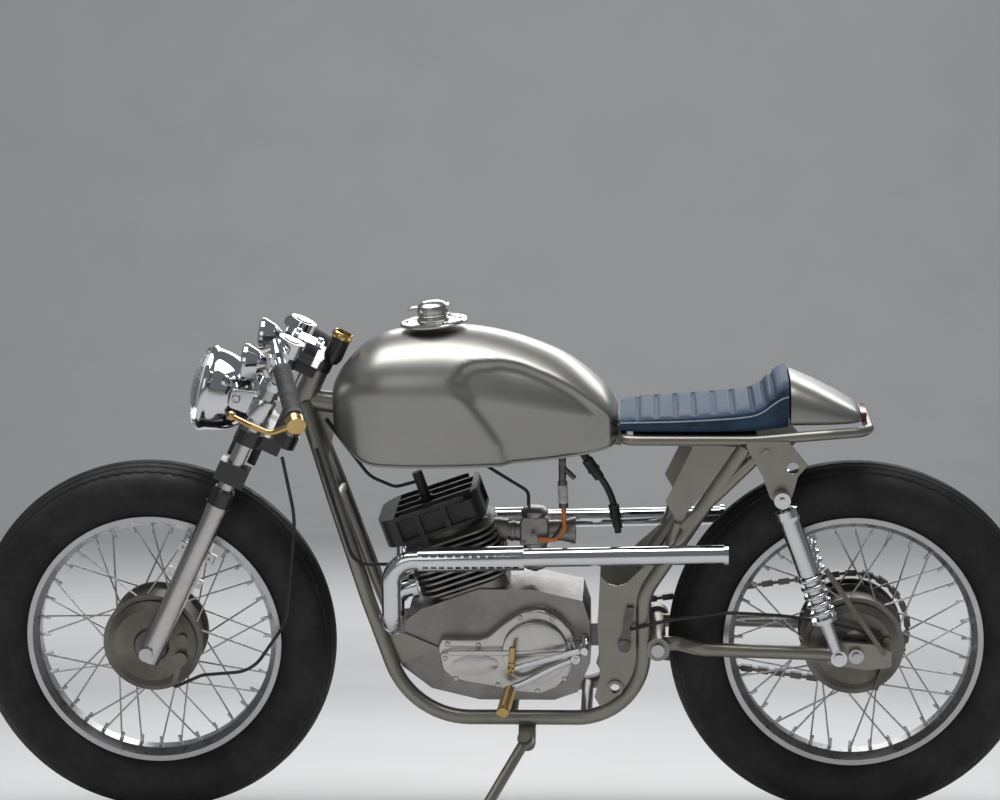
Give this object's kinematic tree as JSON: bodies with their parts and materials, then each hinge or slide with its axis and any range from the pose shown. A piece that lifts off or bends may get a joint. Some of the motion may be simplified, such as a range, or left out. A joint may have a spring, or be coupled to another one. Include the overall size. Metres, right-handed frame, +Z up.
{
  "type": "cafe racer motorcycle",
  "caption": "Cafe racer motorcycle parked on its side stand, with spoked wheels, finned engine, low clip-on bars and a short pleated seat.",
  "frame": {"origin": "middle of the machine's bounding box, on the ground", "axes": "+X forward, +Y to the rider's left (the side it leans to), +Z up"},
  "size_m": [2.014, 0.6418, 0.9795],
  "materials": {
    "satin_pewter": "satin",
    "tank_pewter": "satin",
    "chrome": "polished",
    "zinc_steel": "satin",
    "cast_alloy": "rough",
    "polished_alloy": "polished",
    "satin_alloy": "satin",
    "black_enamel": "satin",
    "blue_leather": "worn",
    "black_plastic": "matte",
    "red_lens": "gloss",
    "dark_steel": "satin",
    "brass": "polished",
    "black_rubber": "matte",
    "lens_glass": "gloss",
    "grey_rubber": "matte",
    "gauge_black": "gloss",
    "tyre_black": "matte",
    "hub_bronze": "rough"
  },
  "bodies": {
    "machine": {"frame": "satin_pewter", "swingarm": "satin_pewter", "shocks": "chrome", "rear_axle": "zinc_steel", "rear_brake_plate": "cast_alloy", "crankcase": "cast_alloy", "engine_covers": "polished_alloy", "cylinder": "cast_alloy", "cylinder_head": "black_enamel", "carburettor": "cast_alloy", "exhausts": "chrome", "tank": "tank_pewter", "fuel_cap": "polished_alloy", "seat_pad": "blue_leather", "seat_pan": "black_plastic", "tail_cowl": "tank_pewter", "tail_light": "red_lens", "chain": "dark_steel", "foot_levers": "chrome", "cables": "black_rubber", "fittings": "dark_steel"},
    "front_end": {"fork_yokes": "black_enamel", "fork_legs": "polished_alloy", "fork_brace": "black_enamel", "front_axle": "zinc_steel", "front_brake_plate": "cast_alloy", "headlight": "chrome", "headlight_lens": "lens_glass", "clip_ons": "chrome", "grips": "grey_rubber", "hand_levers": "brass", "gauge": "gauge_black", "bar_clamp": "chrome", "marker_lamps": "chrome", "front_cables": "black_rubber"},
    "front_wheel": {"front_tyre": "tyre_black", "front_rim": "satin_alloy", "front_hub": "hub_bronze", "front_spokes": "zinc_steel"},
    "rear_wheel": {"rear_tyre": "tyre_black", "rear_rim": "satin_alloy", "rear_hub": "hub_bronze", "rear_spokes": "zinc_steel", "rear_sprocket": "dark_steel"},
    "stand": {"side_stand": "satin_pewter"}
  },
  "joints": [
    {"name": "steering", "type": "hinge", "parent": "machine", "child": "front_end", "pos_m": [0.36851, -0.00857, 0.78959], "axis": [-0.4289, 0.2109, 0.8784], "range_deg": [-28, 28]},
    {"name": "front_wheel_spin", "type": "hinge", "parent": "front_end", "child": "front_wheel", "pos_m": [0.661, -0.11699, 0.33799], "axis": [0, 0.9724, -0.2334], "continuous": true},
    {"name": "rear_wheel_spin", "type": "hinge", "parent": "machine", "child": "rear_wheel", "pos_m": [-0.661, -0.11699, 0.33799], "axis": [0, 0.9724, -0.2334], "continuous": true},
    {"name": "side_stand_fold", "type": "hinge", "parent": "machine", "child": "stand", "pos_m": [-0.049, -0.02988, 0.15253], "axis": [0.11, 0.8887, 0.4451], "range_deg": [0, 120]}
  ]
}
